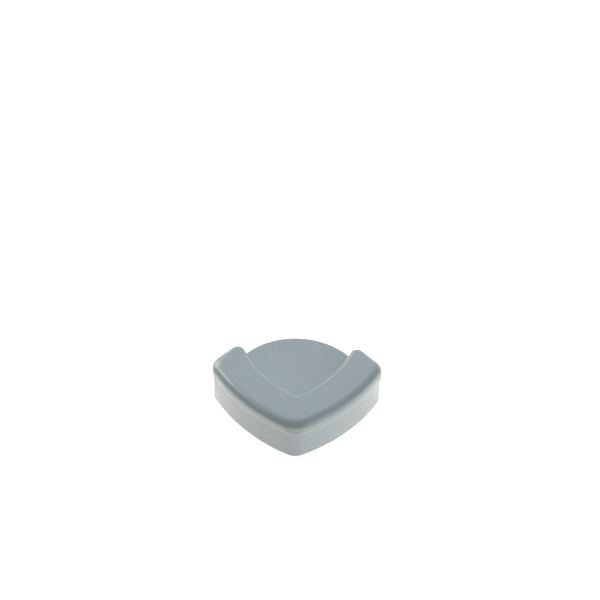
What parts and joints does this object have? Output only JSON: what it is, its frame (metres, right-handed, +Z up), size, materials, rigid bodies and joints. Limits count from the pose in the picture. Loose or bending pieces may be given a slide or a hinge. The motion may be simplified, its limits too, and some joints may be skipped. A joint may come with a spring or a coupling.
{
  "type": "furniture corner protector",
  "caption": "Soft moulded guard for a furniture corner: a thick V-shaped pad with a rounded top edge, a thin round-fronted tongue between its arms and a skirt over the furniture's edges.",
  "frame": {"origin": "middle of the guard's box seen from above, at the foot of the skirt", "axes": "+X and +Y run along the furniture's two edges, away from the corner that the guard caps, and +Z is up; the furniture's corner is at x = y = -17.64 mm"},
  "size_m": [0.0568, 0.0568, 0.0186],
  "materials": {
    "soft_moulding": "satin grey-blue elastomer, moulded, soft"
  },
  "bodies": {
    "root": {"corner_protector": "soft_moulding"}
  },
  "joints": []
}
